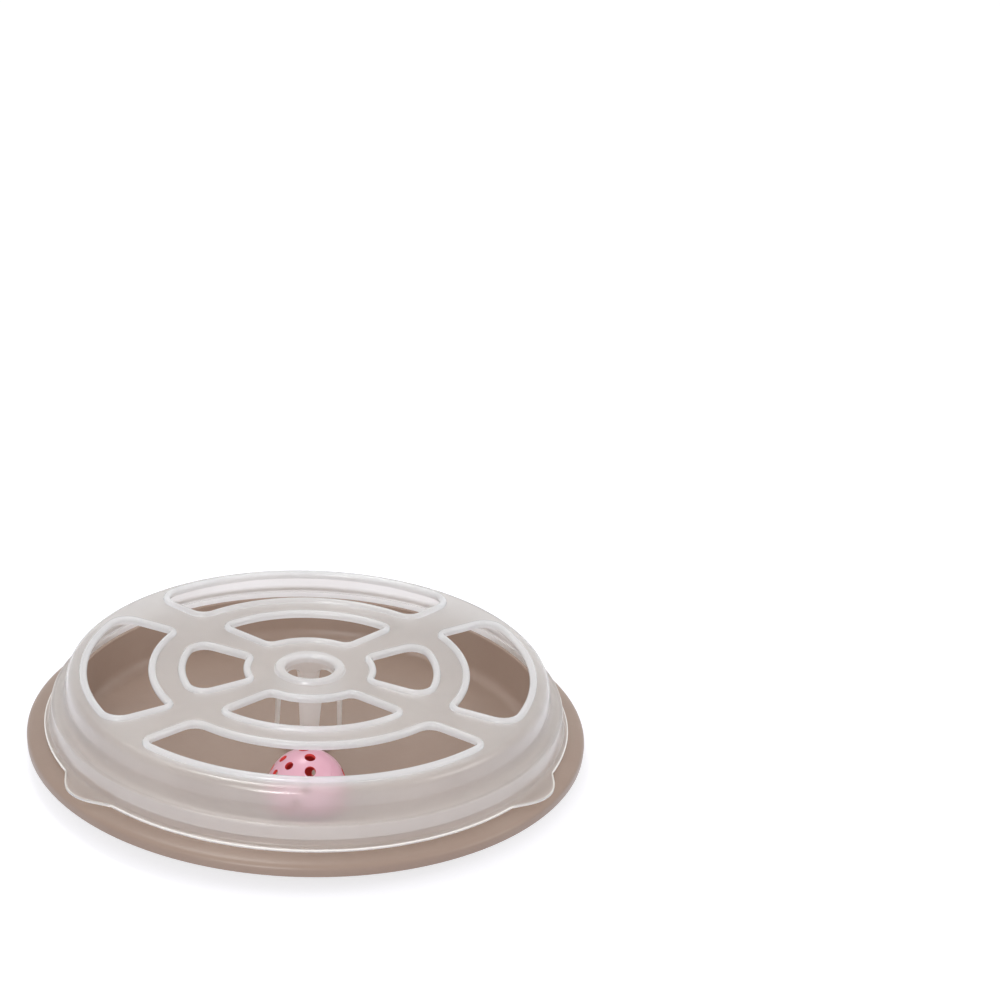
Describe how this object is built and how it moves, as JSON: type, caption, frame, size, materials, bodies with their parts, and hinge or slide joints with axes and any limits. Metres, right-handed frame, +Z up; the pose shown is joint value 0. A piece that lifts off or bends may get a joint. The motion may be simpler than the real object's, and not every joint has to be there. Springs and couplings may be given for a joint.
{
  "type": "cat ball track toy",
  "caption": "Round cat toy with a taupe pan, a frosted lift-off dome with paw windows and a pink perforated jingle ball running inside.",
  "frame": {"origin": "on the ground under the centre of the pan", "axes": "+Z up through the hub hole; -Y towards the wide front window, where the ball rests"},
  "size_m": [0.2944, 0.2944, 0.049],
  "materials": {
    "tray": "satin",
    "dome": "frosted translucent",
    "ball": "satin",
    "bell": "plated",
    "pellet": "plain",
    "pad": "matt"
  },
  "bodies": {
    "pan": {"base_tray": "tray", "foot_pad_1": "pad", "foot_pad_2": "pad", "foot_pad_3": "pad", "foot_pad_4": "pad"},
    "dome": {"cover": "dome"},
    "bell": {"bell_cap": "bell", "bell_cup": "bell", "bell_pellet": "pellet"},
    "ball": {"ball_half_upper": "ball", "ball_half_lower": "ball"}
  },
  "joints": [
    {"name": "dome_lift", "type": "slide", "parent": "pan", "child": "dome", "axis": [0, 0, 1], "range_m": [0, 0.05]},
    {"name": "ball_orbit", "type": "hinge", "parent": "pan", "child": "bell", "pos_m": [0, 0, 0.0037], "axis": [0, 0, 1], "continuous": true},
    {"name": "ball_roll", "type": "hinge", "parent": "bell", "child": "ball", "pos_m": [-0.00326, -0.08494, 0.024], "axis": [-0.0384, -0.9993, 0], "continuous": true}
  ],
  "couplings": [
    {"joint": "ball_roll", "follows": "ball_orbit", "ratio": -4.25}
  ]
}
